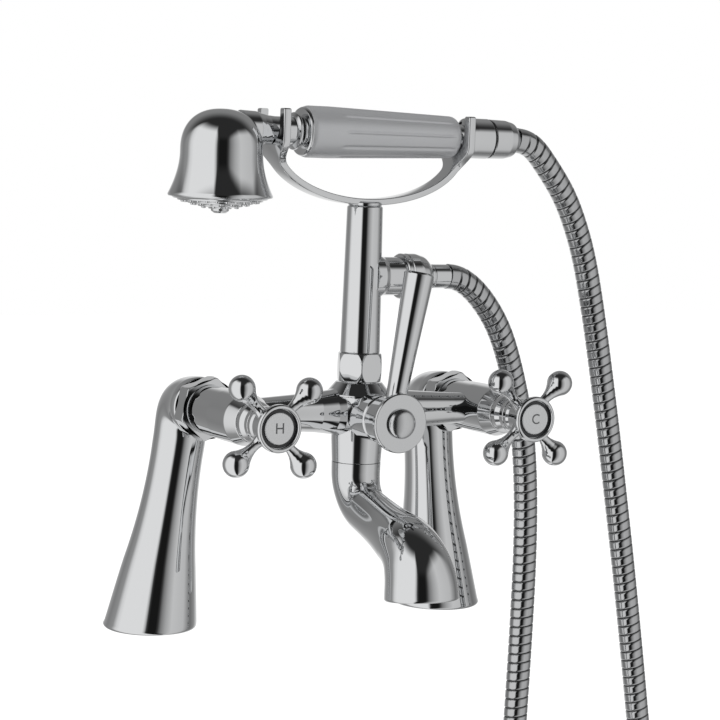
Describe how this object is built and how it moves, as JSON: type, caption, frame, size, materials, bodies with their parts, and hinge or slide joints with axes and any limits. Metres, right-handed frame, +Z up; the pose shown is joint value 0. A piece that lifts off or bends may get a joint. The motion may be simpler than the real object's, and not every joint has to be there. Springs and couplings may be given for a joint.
{
  "type": "bath shower mixer",
  "caption": "Deck-mounted chrome bath shower mixer with cross handles, diverter lever, curved spout, cradle and telephone handset on a metal hose",
  "frame": {"origin": "midway between the two inlets, on the deck the feet stand on", "axes": "+X to the cold side, -Y to the front over the bath, +Z up"},
  "size_m": [0.3439, 0.1754, 0.6176],
  "materials": {
    "chrome": "bright chrome plate on brass",
    "brass": "turned brass",
    "rubber": "moulded rubber",
    "fibre": "pressed fibre washer",
    "ceramic": "lapped ceramic",
    "screw_steel": "plain steel screw",
    "index_enamel": "enamelled brass disc",
    "grip": "satin moulded sleeve",
    "hose_metal": "interlocked chromed strip"
  },
  "bodies": {
    "mixer": {"hot_leg": "chrome", "cold_leg": "chrome", "foot_gaskets": "rubber", "hot_union_nut": "chrome", "cold_union_nut": "chrome", "union_washers": "fibre", "mixer_body": "chrome", "hot_valve_insert": "brass", "cold_valve_insert": "brass", "hot_fixed_disc": "ceramic", "cold_fixed_disc": "ceramic", "valve_seat_seals": "rubber", "hot_valve_collar": "chrome", "cold_valve_collar": "chrome", "diverter_barrel": "chrome", "spout": "chrome", "spout_seal": "rubber", "riser_nut": "chrome", "riser_washer": "fibre", "riser_pipe": "chrome", "outlet_washer": "rubber", "outlet_nut": "chrome", "outlet_ferrule": "chrome", "cradle": "chrome", "cradle_screw": "screw_steel", "shower_hose": "hose_metal"},
    "hot_handle": {"hot_spindle": "brass", "hot_moving_disc": "ceramic", "hot_spindle_seal": "rubber", "hot_cross_handle": "chrome", "hot_handle_screw": "screw_steel", "hot_index_disc": "index_enamel"},
    "cold_handle": {"cold_spindle": "brass", "cold_moving_disc": "ceramic", "cold_spindle_seal": "rubber", "cold_cross_handle": "chrome", "cold_handle_screw": "screw_steel", "cold_index_disc": "index_enamel"},
    "diverter": {"diverter_spindle": "brass", "diverter_seal": "rubber", "diverter_hub": "chrome", "diverter_lever": "chrome", "diverter_disc": "chrome", "diverter_screw": "screw_steel", "diverter_dome": "chrome"},
    "shuttle": {"diverter_shuttle": "brass", "shuttle_washers": "rubber"},
    "handset": {"handset_head": "chrome", "head_seal": "rubber", "spray_plate": "chrome", "spray_screw": "chrome", "handset_tube": "brass", "front_collar": "chrome", "handset_grip": "grip", "handset_tail": "chrome", "tail_seal_ring": "rubber", "tail_washer": "rubber", "hose_nut": "chrome", "hose_ferrule": "chrome"}
  },
  "joints": [
    {"name": "hot_handle_turn", "type": "hinge", "parent": "mixer", "child": "hot_handle", "pos_m": [-0.0754, -0.108, 0.1212], "axis": [0, -1, 0], "range_deg": [0, 90]},
    {"name": "cold_handle_turn", "type": "hinge", "parent": "mixer", "child": "cold_handle", "pos_m": [0.0754, -0.108, 0.1212], "axis": [0, -1, 0], "range_deg": [-90, 0]},
    {"name": "diverter_turn", "type": "hinge", "parent": "mixer", "child": "diverter", "pos_m": [0, -0.095, 0.12], "axis": [0, -1, 0], "range_deg": [-35, 55]},
    {"name": "shuttle_lift", "type": "slide", "parent": "mixer", "child": "shuttle", "axis": [0, 0, 1], "range_m": [-0.00275, 0.0044]},
    {"name": "handset_lift", "type": "slide", "parent": "mixer", "child": "handset", "axis": [0, 0, 1], "range_m": [0, 0.05], "deforming": ["shower_hose"]}
  ],
  "couplings": [
    {"joint": "shuttle_lift", "follows": "diverter_turn", "m_per_rad": 0.00448}
  ]
}
